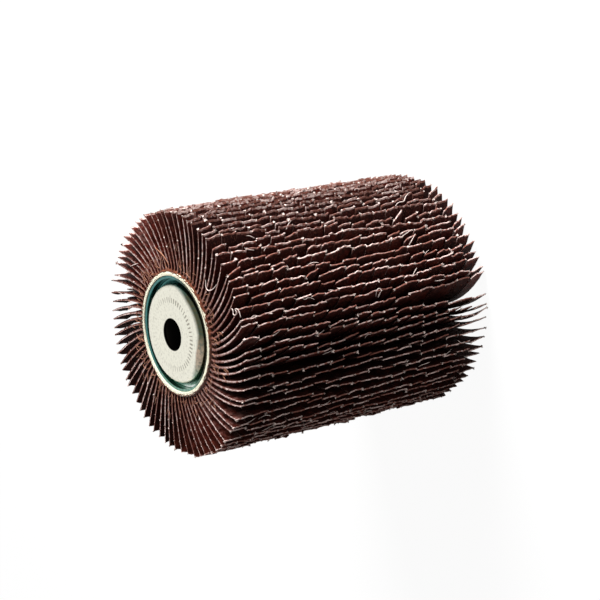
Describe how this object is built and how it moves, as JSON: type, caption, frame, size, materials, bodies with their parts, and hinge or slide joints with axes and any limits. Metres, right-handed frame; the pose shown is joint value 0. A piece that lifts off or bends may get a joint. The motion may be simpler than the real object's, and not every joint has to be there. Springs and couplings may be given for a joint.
{
  "type": "flap wheel",
  "caption": "Wide cylindrical abrasive flap wheel: slashed cloth flaps set radially round a paper tube, with a pressed steel flange and a plain bore at each end.",
  "frame": {"origin": "centre of the bore, in the outer plane of the rear flange, which the wheel stands on", "axes": "+Z along the bore towards the front flange; +X and +Y across the wheel, where the first flap is rooted on +X"},
  "size_m": [0.1004, 0.1004, 0.1236],
  "materials": {
    "tube_paper": "rolled paper, sealed",
    "resin": "cast, brown, rough",
    "flange_steel": "pressed, zinc plated",
    "spacer_steel": "drawn, oiled",
    "abrasive_cloth": "aluminium oxide grit on cotton cloth"
  },
  "bodies": {
    "root": {"core_tube": "tube_paper", "resin_bed": "resin", "front_flange": "flange_steel", "rear_flange": "flange_steel", "spacer_tube": "spacer_steel", "flap_pair_01": "abrasive_cloth", "flap_pair_02": "abrasive_cloth", "flap_pair_03": "abrasive_cloth", "flap_pair_04": "abrasive_cloth", "flap_pair_05": "abrasive_cloth", "flap_pair_06": "abrasive_cloth", "flap_pair_07": "abrasive_cloth", "flap_pair_08": "abrasive_cloth", "flap_pair_09": "abrasive_cloth", "flap_pair_10": "abrasive_cloth", "flap_pair_11": "abrasive_cloth", "flap_pair_12": "abrasive_cloth", "flap_pair_13": "abrasive_cloth", "flap_pair_14": "abrasive_cloth", "flap_pair_15": "abrasive_cloth", "flap_pair_16": "abrasive_cloth", "flap_pair_17": "abrasive_cloth", "flap_pair_18": "abrasive_cloth", "flap_pair_19": "abrasive_cloth", "flap_pair_20": "abrasive_cloth", "flap_pair_21": "abrasive_cloth", "flap_pair_22": "abrasive_cloth", "flap_pair_23": "abrasive_cloth", "flap_pair_24": "abrasive_cloth", "flap_pair_25": "abrasive_cloth", "flap_pair_26": "abrasive_cloth", "flap_pair_27": "abrasive_cloth", "flap_pair_28": "abrasive_cloth", "flap_pair_29": "abrasive_cloth", "flap_pair_30": "abrasive_cloth", "flap_pair_31": "abrasive_cloth", "flap_pair_32": "abrasive_cloth", "flap_pair_33": "abrasive_cloth", "flap_pair_34": "abrasive_cloth", "flap_pair_35": "abrasive_cloth", "flap_pair_36": "abrasive_cloth", "flap_pair_37": "abrasive_cloth", "flap_pair_38": "abrasive_cloth"}
  },
  "joints": []
}
